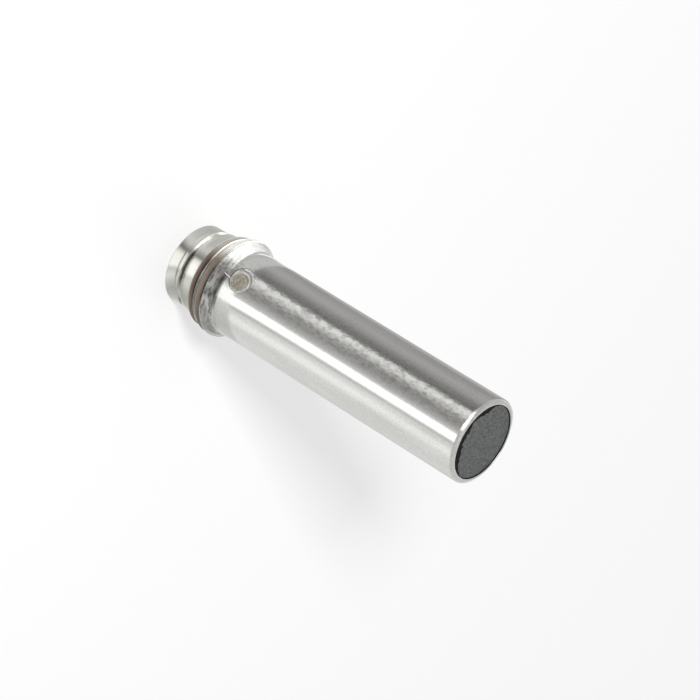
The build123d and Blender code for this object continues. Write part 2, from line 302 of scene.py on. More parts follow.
for name, band in card_bands.items():
    glow, tree = new_material(name)
    place = add(tree, "TexCoord")
    turned_place = add(tree, "Mapping", values={"Rotation": (0, 0, -camera_azimuth)}, links={
        "Vector": place.outputs["Object"],
    })
    across = add(tree, "SeparateXYZ", links={0: turned_place.outputs[0]})
    angle = add(tree, "Math", {"operation": "ARCTAN2"}, links={
        0: across.outputs["Y"], 1: across.outputs["X"],
    })
    share = add(tree, "MapRange", values={"From Min": -math.pi, "From Max": math.pi}, links={
        "Value": angle.outputs[0],
    })
    ramp = add(tree, "ValToRGB", links={"Fac": share.outputs[0]})
    shades = list(band["stops"].values())
    behind = (shades[0] + shades[-1]) / 2
    round_stops = {-180: behind, **band["stops"], 180: behind}
    stops = ramp.color_ramp.elements
    while len(stops) < len(round_stops):
        stops.new(0.5)
    for stop in stops:
        stop.position = 0.0
    for stop, (degrees, shade) in reversed(list(zip(stops, round_stops.items()))):
        stop.position = (degrees + 180) / 360
        tint = band.get("tint", card_warm) if shade < card_warm_below else (1, 1, 1)
        stop.color = [shade / card_strength * part for part in tint] + [1.0]
    light = add(tree, "Emission", values={"Strength": card_strength}, links={
        "Color": ramp.outputs[0],
    })
    if band.get("seen_from") == "below":
        facing = add(tree, "NewGeometry")
        clear = add(tree, "BsdfTransparent")
        light = add(tree, "MixShader", links={
            0: facing.outputs["Backfacing"], 1: clear.outputs[0], 2: light.outputs[0],
        })
    add(tree, "OutputMaterial", links={"Surface": light.outputs[0]})
    glow.cycles.emission_sampling = "NONE"
    bm = bmesh.new()
    points = [bm.verts.new((r, 0, z)) for r, z in band["line"]]
    for pair in zip(points, points[1:]):
        bm.edges.new(pair)
    bmesh.ops.spin(
        bm, geom=bm.verts[:] + bm.edges[:], angle=math.tau, steps=128, axis=(0, 0, 1),
        cent=(0, 0, 0), use_merge=True,
    )
    made = piece_from(name, bm, glow)
    made.visible_camera = False
    made.visible_diffuse = False
    made.visible_shadow = False
    made.visible_transmission = False
    made.visible_volume_scatter = False


# Barrel tube
# Drawn stainless steel tube, centreless ground to a satin. Its rear end is upset into a flange
# with a sloping front, the nose is rounded over, and a hole for the window is drilled in its side.
tube_low, tube_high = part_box("barrel_tube")
barrel_r = frame["record"]["mounts"][0]["dims"]["r_mm"]
bore_r = 3.5
flange_r = tube_high.x / MM
flange_back = tube_low.z / MM
land_end = flange_back + 0.22
flange_front = land_end + 0.8
nose_z = tube_high.z / MM
window_r = 1.2
window_z = flange_front + 1.6
turned_steps = 256
corner_slack = 0.002
bevel_steps = 6


def turned(corners, steps=turned_steps):
    """Solid of revolution from (radius, height, bevel) corners in order, each rounded by its bevel."""
    bm = bmesh.new()
    points = [bm.verts.new((r, 0, z)) for r, z, _ in corners]
    for a, b in zip(points, points[1:] + points[:1]):
        if a.co.x > 0 or b.co.x > 0:
            bm.edges.new((a, b))
    bmesh.ops.spin(
        bm, geom=bm.verts[:] + bm.edges[:], angle=math.tau, steps=steps, axis=(0, 0, 1),
        cent=(0, 0, 0), use_merge=True,
    )
    bmesh.ops.remove_doubles(bm, verts=bm.verts, dist=0.0005)
    for r, z, bevel in corners:
        if not bevel:
            continue
        ring = [
            e for e in bm.edges
            if all(
                abs(math.hypot(v.co.x, v.co.y) - r) < corner_slack and abs(v.co.z - z) < corner_slack
                for v in e.verts
            )
        ]
        bmesh.ops.bevel(
            bm, geom=ring, offset=bevel, segments=bevel_steps, affect="EDGES", profile=0.5,
            material=-1, clamp_overlap=False,
        )
    bmesh.ops.recalc_face_normals(bm, faces=bm.faces)
    return bm


def side_of(point):
    """Angle of a point round from the camera, in degrees from -180 to 180."""
    side = math.degrees(math.atan2(point.y, point.x) - camera_azimuth)
    return (side + 180) % 360 - 180


def repeats(sizes):
    """Mapping scale of a pattern with these sizes in millimetres, along x, y and z."""
    return [1 / (size * MM) for size in sizes]


bm = turned([
    (bore_r, flange_back, 0),
    (flange_r, flange_back, 0.08),
    (flange_r, land_end, 0.04),
    (barrel_r, flange_front, 0.178),
    (barrel_r, nose_z, 0.36),
    (bore_r, nose_z, 0.06),
])

# The upset slope is left as forged: lumpy on the camera's side, smooth where it turns away.
slope_edges = [
    e for e in bm.edges
    if max(v.co.z for v in e.verts) - min(v.co.z for v in e.verts) > 0.4
    and all(flange_back < v.co.z < flange_front for v in e.verts)
    and all(math.hypot(v.co.x, v.co.y) > barrel_r for v in e.verts)
]
bmesh.ops.subdivide_edges(bm, edges=slope_edges, cuts=14, use_grid_fill=True)
lump_across = 0.8
lump_up = 0.2
lump_height = 0.022
smooth_share = 0.25
rough_from = -25
rough_over = 20
rough_to = 120
for v in bm.verts:
    radius = math.hypot(v.co.x, v.co.y)
    if radius > barrel_r + 0.05 and v.co.z > flange_back + 0.1:
        side = side_of(v.co)
        rough = smooth_share
        if side < rough_to:
            rough = min(1, max(smooth_share, (side - rough_from) / rough_over))
        grain = Vector((v.co.x / lump_across, v.co.y / lump_across, v.co.z / lump_up))
        lump = noise.noise(grain) + 0.5 * noise.noise(grain * 2.3)
        v.co += v.normal * lump * lump_height * rough

ground_steel, tree = new_material("ground_stainless_steel")
# Fine grinding leaves a soft haze: specks of 0.02 mm, drawn 0.2 mm so that they show, in clouds
# 1.7 mm wide and 11 mm long. Handling has left shallow dents, 0.3 mm by 0.5 mm, in a band along one
# side, fainter ones all round, and one white scratch from the flange to the window. The forged
# flange is duller, with dark streaks of scale, and painted shade darkens its two corners on the camera's
# side.
speck_size = 0.2
speck_depth = 0.0015
cloud_size = (1.6667, 1.6667, 11.111)
dent_size = (0.3125, 0.3125, 0.5263)
dent_depth = 0.02
dent_side = -17.0
dent_band = (0.5, 1.6)
ground_roughness = 0.14
forged_roughness = 0.27
streak_size = (0.7692, 0.7692, 0.2)
streak_band = (4.2, 1.8)
# Centre and reach of the dark scale streaks, and of the painted shade in the flange's corners.
scale_and_shade_side = 14.0
flange_shade_band = (2.0, 1.2)
flange_shade_share = 0.75
scratch_from = Vector((0.25, 5.95))
scratch_to = Vector((0.43, 7.05))
scratch_width = 0.03
place = add(tree, "TexCoord")
specks_place = add(tree, "Mapping", values={"Scale": repeats([speck_size] * 3)}, links={
    "Vector": place.outputs["Object"],
})
specks = add(tree, "TexNoise", values={"Scale": 1.0, "Detail": 2.0}, links={
    "Vector": specks_place.outputs[0],
})
clouds_place = add(tree, "Mapping", values={"Scale": repeats(cloud_size)}, links={
    "Vector": place.outputs["Object"],
})
clouds = add(tree, "TexNoise", values={"Scale": 1.0, "Detail": 3.0}, links={
    "Vector": clouds_place.outputs[0],
})
dents_place = add(tree, "Mapping", values={"Scale": repeats(dent_size)}, links={
    "Vector": place.outputs["Object"],
})
dents = add(tree, "TexNoise", values={"Scale": 1.0, "Detail": 4.0}, links={
    "Vector": dents_place.outputs[0],
})
height = add(tree, "SeparateXYZ", links={0: place.outputs["Object"]})
slope_middle = (land_end + flange_front) / 2
off_slope = add(tree, "Math", {"operation": "SUBTRACT"}, {1: slope_middle * MM}, {
    0: height.outputs["Z"],
})
off_slope = add(tree, "Math", {"operation": "ABSOLUTE"}, links={0: off_slope.outputs[0]})
forged = add(tree, "MapRange", values={"From Min": 0.5 * MM, "From Max": 0.36 * MM}, links={
    "Value": off_slope.outputs[0],
})
dullness = add(tree, "MapRange", values={"To Min": ground_roughness, "To Max": forged_roughness}, links={
    "Value": forged.outputs[0],
})
flat_place = add(tree, "VectorMath", {"operation": "MULTIPLY"}, {1: (1, 1, 0)}, {
    0: place.outputs["Object"],
})
dent_middle = toward(dent_side, 0) * barrel_r * MM
dent_reach = add(tree, "VectorMath", {"operation": "DISTANCE"}, {1: dent_middle}, {
    0: flat_place.outputs[0],
})
dented = add(tree, "MapRange", values={
    "From Min": dent_band[0] * MM, "From Max": dent_band[1] * MM, "To Min": 1.0, "To Max": 0.05,
}, links={"Value": dent_reach.outputs["Value"]})
dents_bump = add(tree, "Bump", values={"Distance": dent_depth * MM}, links={
    "Height": dents.outputs[0], "Strength": dented.outputs[0],
})
specks_bump = add(tree, "Bump", values={"Distance": speck_depth * MM}, links={
    "Height": specks.outputs[0], "Strength": dented.outputs[0], "Normal": dents_bump.outputs[0],
})
haze = add(tree, "Math", {"operation": "ADD"}, links={0: specks.outputs[0], 1: clouds.outputs[0]})
haze = add(tree, "MapRange", values={"From Min": 0.8, "From Max": 1.2}, links={
    "Value": haze.outputs[0],
})
ground_tone = add(tree, "MixRGB", values={"Color1": paint("#c9cac6"), "Color2": paint("#d5d6d2")}, links={
    "Fac": haze.outputs[0],
})
pits = add(tree, "MapRange", values={"From Min": 0.45, "From Max": 0.7, "To Max": 0.6}, links={
    "Value": dents.outputs[0],
})
pits = add(tree, "Math", {"operation": "MULTIPLY"}, links={
    0: pits.outputs[0], 1: dented.outputs[0],
})
steel_tone = add(tree, "MixRGB", values={"Color2": paint("#94958f")}, links={
    "Fac": pits.outputs[0], "Color1": ground_tone.outputs[0],
})
scale_and_shade_middle = toward(scale_and_shade_side, 0) * barrel_r * MM
scale_and_shade_reach = add(tree, "VectorMath", {"operation": "DISTANCE"}, {1: scale_and_shade_middle}, {
    0: flat_place.outputs[0],
})
near_side = add(tree, "MapRange", values={
    "From Min": flange_shade_band[0] * MM, "From Max": flange_shade_band[1] * MM,
}, links={"Value": scale_and_shade_reach.outputs["Value"]})
scale_place = add(tree, "Mapping", values={"Scale": repeats(streak_size)}, links={
    "Vector": place.outputs["Object"],
})
scale = add(tree, "TexNoise", values={"Scale": 1.0, "Detail": 3.0}, links={
    "Vector": scale_place.outputs[0],
})
streaks = add(tree, "MapRange", values={"From Min": 0.48, "From Max": 0.62}, links={
    "Value": scale.outputs[0],
})
streaks = add(tree, "Math", {"operation": "MULTIPLY"}, links={
    0: streaks.outputs[0], 1: forged.outputs[0],
})
streak_side = add(tree, "MapRange", values={
    "From Min": streak_band[0] * MM, "From Max": streak_band[1] * MM, "To Min": 0.12, "To Max": 0.75,
}, links={"Value": scale_and_shade_reach.outputs["Value"]})
streaks = add(tree, "Math", {"operation": "MULTIPLY"}, links={
    0: streaks.outputs[0], 1: streak_side.outputs[0],
})
scaled_tone = add(tree, "MixRGB", values={"Color2": paint("#5f5e5b")}, links={
    "Fac": streaks.outputs[0], "Color1": steel_tone.outputs[0],
})
# Painted shade: the fillet before the flange and the land behind it are darkened on the camera's side.
corner = add(tree, "Math", {"operation": "SUBTRACT"}, {1: (flange_front + 0.06) * MM}, {
    0: height.outputs["Z"],
})
corner = add(tree, "Math", {"operation": "ABSOLUTE"}, links={0: corner.outputs[0]})
flange_shade = add(tree, "MapRange", values={
    "From Min": 0.3 * MM, "From Max": 0.1 * MM, "To Max": flange_shade_share,
}, links={"Value": corner.outputs[0]})
on_land = add(tree, "MapRange", values={
    "From Min": (land_end + 0.02) * MM, "From Max": (land_end - 0.06) * MM, "To Max": flange_shade_share,
}, links={"Value": height.outputs["Z"]})
flange_shade = add(tree, "Math", {"operation": "MAXIMUM"}, links={
    0: flange_shade.outputs[0], 1: on_land.outputs[0],
})
flange_shade = add(tree, "Math", {"operation": "MULTIPLY"}, links={
    0: flange_shade.outputs[0], 1: near_side.outputs[0],
})
flange_shaded_tone = add(tree, "MixRGB", values={"Color2": paint("#4a4947")}, links={
    "Fac": flange_shade.outputs[0], "Color1": scaled_tone.outputs[0],
})
along = scratch_to - scratch_from
scratch_turn = math.atan2(along.x, along.y)
scratch_place = add(tree, "Mapping", {"vector_type": "TEXTURE"}, {
    "Location": (scratch_from.x * MM, 0, scratch_from.y * MM), "Rotation": (0, scratch_turn, 0),
}, {"Vector": place.outputs["Object"]})
scratch_axes = add(tree, "SeparateXYZ", links={0: scratch_place.outputs[0]})
outwards = add(tree, "Math", {"operation": "LESS_THAN"}, {1: 0.0}, {0: scratch_axes.outputs["Y"]})
across = add(tree, "Math", {"operation": "ABSOLUTE"}, links={0: scratch_axes.outputs["X"]})
narrow = add(tree, "Math", {"operation": "LESS_THAN"}, {1: scratch_width * MM}, {
    0: across.outputs[0],
})
run = add(tree, "Math", {"operation": "COMPARE"}, {
    1: along.length / 2 * MM, 2: along.length / 2 * MM,
}, {0: scratch_axes.outputs["Z"]})
scratch = add(tree, "Math", {"operation": "MULTIPLY"}, links={
    0: narrow.outputs[0], 1: run.outputs[0],
})
scratch = add(tree, "Math", {"operation": "MULTIPLY"}, links={
    0: scratch.outputs[0], 1: outwards.outputs[0],
})
tone = add(tree, "MixRGB", values={"Color2": paint("#e0e0de")}, links={
    "Fac": scratch.outputs[0], "Color1": flange_shaded_tone.outputs[0],
})
bare = add(tree, "Math", {"operation": "SUBTRACT"}, {0: 1.0}, {1: scratch.outputs[0]})
shader = add(tree, "BsdfPrincipled", links={
    "Base Color": tone.outputs[0], "Metallic": bare.outputs[0], "Roughness": dullness.outputs[0],
    "Normal": specks_bump.outputs[0],
})
add(tree, "OutputMaterial", links={"Surface": shader.outputs[0]})

barrel = piece_from("barrel", bm, ground_steel)


def combine(piece, tool, operation):
    """Cut a tool's shape out of a piece, or join it on, and remove the tool."""
    step = piece.modifiers.new("combine", "BOOLEAN")
    step.object = tool
    step.operation = operation
    step.solver = "EXACT"
    graph = bpy.context.evaluated_depsgraph_get()
    combined = bpy.data.meshes.new_from_object(piece.evaluated_get(graph))
    piece.modifiers.remove(step)
    piece.data = combined
    combined.set_sharp_from_angle(angle=math.radians(35))
    bpy.data.objects.remove(tool)


def to_window(bm):
    """Turn a shape made about Z to look along minus Y at the window's height."""
    bmesh.ops.rotate(bm, verts=bm.verts, matrix=Matrix.Rotation(math.radians(90), 3, "X"))
    bmesh.ops.translate(bm, verts=bm.verts, vec=(0, 0, window_z))


bm = bmesh.new()
bmesh.ops.create_cone(
    bm, cap_ends=True, segments=96, radius1=window_r, radius2=window_r, depth=barrel_r,
)
bmesh.ops.translate(bm, verts=bm.verts, vec=(0, 0, barrel_r))
to_window(bm)
combine(barrel, piece_from("window_drill", bm, ground_steel), "DIFFERENCE")
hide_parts("barrel_tube")
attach(barrel, "root")


# Status light window
# Clear epoxy cast into the hole over the lamp, brown from the inside that shows through it.
# Its face has round ridges from the mould, and a stem reaches down to the lamp.
window_low, window_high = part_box("led_window")
window_face = -window_low.y / MM
lamp_depth = -window_high.y / MM
head_r = 1.18
head_back = window_face - 0.66
stem_r = 0.7
groove_floor = window_face - 0.12
ridge_round = 0.03
bm = turned([
    (0, window_face - 0.05, 0),
    (0.2, window_face - 0.05, ridge_round),
    (0.26, groove_floor, ridge_round),
    (0.4, groove_floor, ridge_round),
    (0.47, window_face - 0.02, ridge_round),
    (0.54, groove_floor, ridge_round),
    (0.68, groove_floor, ridge_round),
    (0.76, window_face - 0.01, ridge_round),
    (0.84, groove_floor, ridge_round),
    (0.96, groove_floor, ridge_round),
    (1.05, window_face, ridge_round),
    (head_r, window_face, ridge_round),
    (head_r, head_back, 0),
    (stem_r, head_back, 0),
    (stem_r, lamp_depth, 0),
    (0, lamp_depth, 0),
], steps=96)
to_window(bm)
cast_epoxy, tree = new_material("cast_clear_epoxy")
# Through the middle shows the brown potting, through the rest the grey wall of the hole. Round the
# moulded rings, light and dark arcs are painted on one side as painted highlights and shade, and faint
# smears, 0.2 mm by 0.7 mm, lie on the other.
core_r = 1.0
core_soft = 0.3
core_place = (0.24, -0.14)
arc_place = (0.3, -0.2)
ring_step = 0.34
waver_size = 0.3846
waver = 0.3
painted_light_toward = (-0.8, 0, 0.6)
smear_size = (0.7, 0.7, 0.2)
smear_turn = 37
place = add(tree, "TexCoord")
cloud_place = add(tree, "Mapping", values={"Scale": repeats([waver_size] * 3)}, links={
    "Vector": place.outputs["Object"],
})
cloud = add(tree, "TexNoise", values={"Scale": 1.0, "Detail": 2.0}, links={
    "Vector": cloud_place.outputs[0],
})
flat_place = add(tree, "Mapping", values={
    "Location": (0, 0, -window_z * MM), "Scale": (1, 0, 1),
}, links={"Vector": place.outputs["Object"]})
drift = add(tree, "VectorMath", {"operation": "MULTIPLY_ADD"}, {1: (waver * MM, 0, waver * MM)}, {
    0: cloud.outputs["Color"], 2: flat_place.outputs[0],
})
centre = add(tree, "VectorMath", {"operation": "SUBTRACT"}, {1: (waver / 2 * MM, 0, waver / 2 * MM)}, {
    0: drift.outputs[0],
})
ring_reach = add(tree, "VectorMath", {"operation": "DISTANCE"}, {
    1: (arc_place[0] * MM, 0, arc_place[1] * MM),
}, {0: centre.outputs[0]})
turns = add(tree, "Math", {"operation": "MULTIPLY"}, {1: math.tau / (ring_step * MM)}, {
    0: ring_reach.outputs["Value"],
})
swing = add(tree, "Math", {"operation": "COSINE"}, links={0: turns.outputs[0]})
# Painted highlights and shade: the ring arcs are drawn in the colour, strongest on one side.
painted_light_side = add(tree, "VectorMath", {"operation": "DOT_PRODUCT"}, {1: painted_light_toward}, {
    0: centre.outputs[0],
})
painted_light_strength = add(tree, "MapRange", values={
    "From Min": -0.6 * MM, "From Max": 0.4 * MM, "To Min": 0.5,
}, links={"Value": painted_light_side.outputs["Value"]})
swing = add(tree, "Math", {"operation": "MULTIPLY"}, links={0: swing.outputs[0], 1: painted_light_strength.outputs[0]})
painted_light_arcs = add(tree, "MapRange", values={"From Min": -1.0}, links={"Value": swing.outputs[0]})
smear_place = add(tree, "Mapping", {"vector_type": "TEXTURE"}, {
    "Rotation": (0, math.radians(smear_turn), 0), "Scale": [size * MM for size in smear_size],
}, {"Vector": place.outputs["Object"]})
smear = add(tree, "TexNoise", values={"Scale": 1.0, "Detail": 1.0}, links={
    "Vector": smear_place.outputs[0],
})
blotches = add(tree, "MapRange", values={
    "From Min": 0.3, "From Max": 0.7, "To Min": 0.15, "To Max": 0.7,
}, links={"Value": smear.outputs[0]})
cleared = add(tree, "MapRange", values={"From Max": 0.3 * MM}, links={
    "Value": painted_light_side.outputs["Value"],
})
painted_light_arcs = add(tree, "MixRGB", links={
    "Fac": cleared.outputs[0], "Color1": blotches.outputs[0], "Color2": painted_light_arcs.outputs[0],
})
core_reach = add(tree, "VectorMath", {"operation": "DISTANCE"}, {
    1: (core_place[0] * MM, 0, core_place[1] * MM),
}, {0: centre.outputs[0]})
core = add(tree, "MapRange", values={
    "From Min": core_r * MM, "From Max": (core_r - core_soft) * MM,
}, links={"Value": core_reach.outputs["Value"]})
wall_tone = add(tree, "MixRGB", values={"Color1": paint("#6f6e6c"), "Color2": paint("#c6c6c4")}, links={
    "Fac": painted_light_arcs.outputs[0],
})
core_tone = add(tree, "MixRGB", values={"Color1": paint("#6a6457"), "Color2": paint("#9b9789")}, links={
    "Fac": painted_light_arcs.outputs[0],
})
tone = add(tree, "MixRGB", links={
    "Fac": core.outputs[0], "Color1": wall_tone.outputs[0], "Color2": core_tone.outputs[0],
})
shader = add(tree, "BsdfPrincipled", values={
    "Roughness": 0.25, "Coat Weight": 1.0, "Coat Roughness": 0.08,
}, links={"Base Color": tone.outputs[0]})
add(tree, "OutputMaterial", links={"Surface": shader.outputs[0]})
window = piece_from("ringed_window", bm, cast_epoxy)
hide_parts("led_window")
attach(window, "root")


# Sensing face
# A cup moulded in charcoal plastic closes the nose. Its floor is the sensing face, a little
# below the rim of the tube, with a spark-eroded grain.
cap_low, cap_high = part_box("sensing_face_cap")
cap_r = cap_high.x / MM
face_z = cap_high.z / MM
cap_wall = 0.3
cap_floor = 0.6
cap_inner_r = cap_r - cap_wall
bm = turned([
    (0, face_z, 0),
    (cap_r, face_z, 0.07),
    (cap_r, cap_low.z / MM, 0.05),
    (cap_inner_r, cap_low.z / MM, 0.05),
    (cap_inner_r, face_z - cap_floor, 0.1),
    (0, face_z - cap_floor, 0),
], steps=192)
grained_plastic, tree = new_material("grained_charcoal_plastic")
# The grain is 0.1 mm, drawn 0.17 mm so that it shows, and it breaks the gloss to a dry grey.
eroded_grain = 0.166667
place = add(tree, "TexCoord")
grain_place = add(tree, "Mapping", values={"Scale": repeats([eroded_grain] * 3)}, links={
    "Vector": place.outputs["Object"],
})
grain = add(tree, "TexNoise", values={"Scale": 1.0, "Detail": 2.0}, links={
    "Vector": grain_place.outputs[0],
})
speckle = add(tree, "MapRange", values={"From Min": 0.36, "From Max": 0.64}, links={
    "Value": grain.outputs[0],
})
tone = add(tree, "MixRGB", values={"Color1": paint("#434445"), "Color2": paint("#646565")}, links={
    "Fac": speckle.outputs[0],
})
relief = add(tree, "Bump", values={"Distance": 0.02 * MM}, links={"Height": grain.outputs[0]})
shader = add(tree, "BsdfPrincipled", values={"Roughness": 0.7, "Specular IOR Level": 0.3}, links={
    "Base Color": tone.outputs[0], "Normal": relief.outputs[0],
})
add(tree, "OutputMaterial", links={"Surface": shader.outputs[0]})
cap = piece_from("sensing_cap", bm, grained_plastic)
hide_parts("sensing_face_cap")
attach(cap, "root")

# The glue that holds the cup has risen beside it. Widest on the camera's left and on one far side, the dark
# bead is partly glue and partly painted shadow of the tube's rim on the face.
wide_side = 25
wide_reach = 48
far_side = -48
far_reach = 20
far_share = 0.8
thin_spread = 0.35
wide_spread = 6.0
ragged_spread = 2.4
ragged_step = 0.5
bm = turned([
    (bore_r - 0.16, face_z - 0.05, 0),
    (bore_r - 0.12, face_z + 0.03, 0.02),
    (bore_r - 0.01, face_z + 0.06, 0.02),
    (bore_r - 0.01, face_z - 0.05, 0),
], steps=192)
for v in bm.verts:
    radius = math.hypot(v.co.x, v.co.y)
    side = side_of(v.co)
    wide = math.exp(-((side - wide_side) / wide_reach) ** 4)
    wide += far_share * math.exp(-((side - far_side) / far_reach) ** 2)
    along_bead = Vector((v.co.x, v.co.y, 0)).normalized() * bore_r / ragged_step
    ragged = noise.noise(along_bead) + 0.4 * noise.noise(along_bead * 2.7)
    spread = thin_spread + wide_spread * wide + ragged_spread * wide * ragged
    shift = (bore_r - radius) * (spread - 1)
    v.co.x -= v.co.x / radius * shift
    v.co.y -= v.co.y / radius * shift
glue_and_painted_shadow, tree = new_material("black_glue_and_painted_shadow")
# Cured epoxy, filled black and dull, in ripples 0.4 mm apart.
ripple_size = 0.4
place = add(tree, "TexCoord")
skin_place = add(tree, "Mapping", values={"Scale": repeats([ripple_size] * 3)}, links={
    "Vector": place.outputs["Object"],
})
skin = add(tree, "TexNoise", values={"Scale": 1.0, "Detail": 2.0}, links={
    "Vector": skin_place.outputs[0],
})
relief = add(tree, "Bump", values={"Distance": 0.02 * MM}, links={"Height": skin.outputs[0]})
shader = add(tree, "BsdfPrincipled", values={
    "Base Color": paint("#1a1816"), "Roughness": 0.8, "Specular IOR Level": 0.08,
}, links={"Normal": relief.outputs[0]})
add(tree, "OutputMaterial", links={"Surface": shader.outputs[0]})
# The dark bead is partly glue and partly painted shadow of the tube's rim on the face.
bead_of_glue_and_shadow = piece_from("cap_glue_and_painted_shadow", bm, glue_and_painted_shadow)
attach(bead_of_glue_and_shadow, "root")


# Plug shell
# Turned from stainless bar: a rim that the sensor stands on, a snap groove, a neck, a thin
# collar between the seals, and a spigot pressed into the tube. Its bore is the socket.
shell_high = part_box("connector_shell")[1]
rim_r = 3.8
groove_r = 3.55
neck_r = 3.94
seat_r = 3.44
collar_r = shell_high.x / MM
spigot_r = 3.48
socket_r = 3.15
ledge_r = 2.8
carrier_seat_r = 3.05
line_z = 1.4
groove_start = 1.55
neck_start = groove_start + 0.6
plug_seat_start = neck_start + 1.15
collar_start = plug_seat_start + 0.78
tube_seat_start = collar_start + 0.2
spigot_end = shell_high.z / MM
socket_depth = 3.9
ledge_end = socket_depth + 0.7
bm = turned([
    (socket_r, 0, 0.08),
    (rim_r, 0, 0.16),
    (rim_r, line_z - 0.05, 0),
    (rim_r - 0.02, line_z, 0),
    (rim_r, line_z + 0.05, 0),
    (rim_r, groove_start, 0.03),
    (groove_r, groove_start + 0.22, 0.02),
    (groove_r, neck_start - 0.04, 0.05),
    (neck_r, neck_start - 0.04, 0.04),
    (neck_r, plug_seat_start, 0.09),
    (seat_r, plug_seat_start, 0.04),
    (seat_r, collar_start, 0.04),
    (collar_r, collar_start, 0.05),
    (collar_r, tube_seat_start, 0.05),
    (spigot_r, tube_seat_start, 0.04),
    (spigot_r, spigot_end, 0.05),
    (carrier_seat_r, spigot_end, 0.03),
    (carrier_seat_r, ledge_end, 0.02),
    (ledge_r, ledge_end, 0.03),
    (ledge_r, socket_depth, 0.03),
    (socket_r, socket_depth, 0.03),
])
turned_steel, tree = new_material("turned_stainless_steel")
# The tool leaves feed marks 0.05 mm apart, drawn 0.1 mm so that they show, and they streak each
# reflection, over waves 1 mm long. The groove is darker on the camera's side: painted shade.
feed_size = (6.6667, 6.6667, 0.1)
feed_depth = 0.0008
wave_size = (0.5556, 0.5556, 1.1111)
wave_depth = 0.01
groove_shade_angle = 10
groove_shade_middle = neck_start - 0.28
groove_shade_half = 0.25
place = add(tree, "TexCoord")
feed_place = add(tree, "Mapping", values={"Scale": repeats(feed_size)}, links={
    "Vector": place.outputs["Object"],
})
feed = add(tree, "TexNoise", values={"Scale": 1.0, "Detail": 2.0}, links={
    "Vector": feed_place.outputs[0],
})
waves_place = add(tree, "Mapping", values={"Scale": repeats(wave_size)}, links={
    "Vector": place.outputs["Object"],
})
waves = add(tree, "TexNoise", values={"Scale": 1.0, "Detail": 2.0}, links={
    "Vector": waves_place.outputs[0],
})
waves_bump = add(tree, "Bump", values={"Distance": wave_depth * MM}, links={
    "Height": waves.outputs[0],
})
feed_bump = add(tree, "Bump", values={"Distance": feed_depth * MM}, links={
    "Height": feed.outputs[0], "Normal": waves_bump.outputs[0],
})
# Painted shade: a band in the groove is darkened on the camera's side.
groove_shade_centre = toward(groove_shade_angle, 0) * neck_r * MM
groove_shade_flat = add(tree, "VectorMath", {"operation": "MULTIPLY"}, {1: (1, 1, 0)}, {
    0: place.outputs["Object"],
})
groove_shade_reach = add(tree, "VectorMath", {"operation": "DISTANCE"}, {1: groove_shade_centre}, {
    0: groove_shade_flat.outputs[0],
})
groove_shade_side = add(tree, "MapRange", values={"From Min": 2.1 * MM, "From Max": 1.3 * MM}, links={
    "Value": groove_shade_reach.outputs["Value"],
})
groove_shade_height = add(tree, "SeparateXYZ", links={0: place.outputs["Object"]})
groove_shade_band = add(tree, "Math", {"operation": "COMPARE"}, {
    1: groove_shade_middle * MM, 2: groove_shade_half * MM,
}, {0: groove_shade_height.outputs["Z"]})
groove_shaded = add(tree, "Math", {"operation": "MULTIPLY"}, links={
    0: groove_shade_side.outputs[0], 1: groove_shade_band.outputs[0],
})
tone = add(tree, "MixRGB", values={"Color1": paint("#cfcfc8"), "Color2": paint("#7d7970")}, links={
    "Fac": groove_shaded.outputs[0],
})
shader = add(tree, "BsdfPrincipled", values={"Metallic": 1.0, "Roughness": 0.17}, links={
    "Base Color": tone.outputs[0], "Normal": feed_bump.outputs[0],
})
add(tree, "OutputMaterial", links={"Surface": shader.outputs[0]})
shell = piece_from("plug_shell", bm, turned_steel)

# A rib in the socket lets the mating half in one way round only.
rib_width = 0.9
rib_height = 0.3
rib_root = 0.2
rib_back = 1.0
bm = bmesh.new()
bmesh.ops.create_cube(bm, size=1.0)
bmesh.ops.scale(bm, verts=bm.verts, vec=(
    rib_width, rib_height + rib_root, socket_depth + rib_root - rib_back,
))
bmesh.ops.translate(bm, verts=bm.verts, vec=(
    0, -(socket_r - (rib_height - rib_root) / 2), (socket_depth + rib_root + rib_back) / 2,
))
combine(shell, piece_from("coding_rib", bm, turned_steel), "UNION")
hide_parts("connector_shell")
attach(shell, "root")


# Seal rings
# Two rings moulded in brown fluorocarbon rubber fill the seats before and behind the collar.
# Each has a round crown with a thin flash line where the mould parted.
ring_gap = 0.02
rings = {
    "plug_seal_ring": {
        "seat": seat_r + ring_gap, "crown": 4.37, "back": plug_seat_start, "width": 0.78, "darkening": 0.6,
        "painted_crevice_shade": 0.24, "painted_crevice_side": (12, 22),
    },
    "tube_seal_ring": {
        "seat": spigot_r + ring_gap, "crown": 4.57, "back": tube_seat_start, "width": 0.8, "darkening": 0.1,
        "painted_crevice_shade": 0.16, "painted_crevice_side": (-12, 30),
    },
}
darkening_side = (6, 22)
flash_height = 0.025
brown_rubber, tree = new_material("brown_fluorocarbon_rubber")
# Moulded rubber with a thin bloom: brown, softly shiny, streaked lighter where it was wiped,
# whitened on one side as a painted highlight, the front ring more. Both rings are darker and redder
# round the camera's side, the rear ring most, and painted shade darkens their front edges there.
bloom_size = (1.1111, 1.1111, 0.25)
painted_highlight_angle = -60
painted_highlight_r = 4.4
painted_highlight_band = (3.2, 1.7)
place = add(tree, "TexCoord")
bloom_place = add(tree, "Mapping", values={"Scale": repeats(bloom_size)}, links={
    "Vector": place.outputs["Object"],
})
bloom = add(tree, "TexNoise", values={"Scale": 1.0, "Detail": 3.0}, links={
    "Vector": bloom_place.outputs[0],
})
brown = add(tree, "MixRGB", values={"Color1": paint("#493c30"), "Color2": paint("#857a69")}, links={
    "Fac": bloom.outputs[0],
})
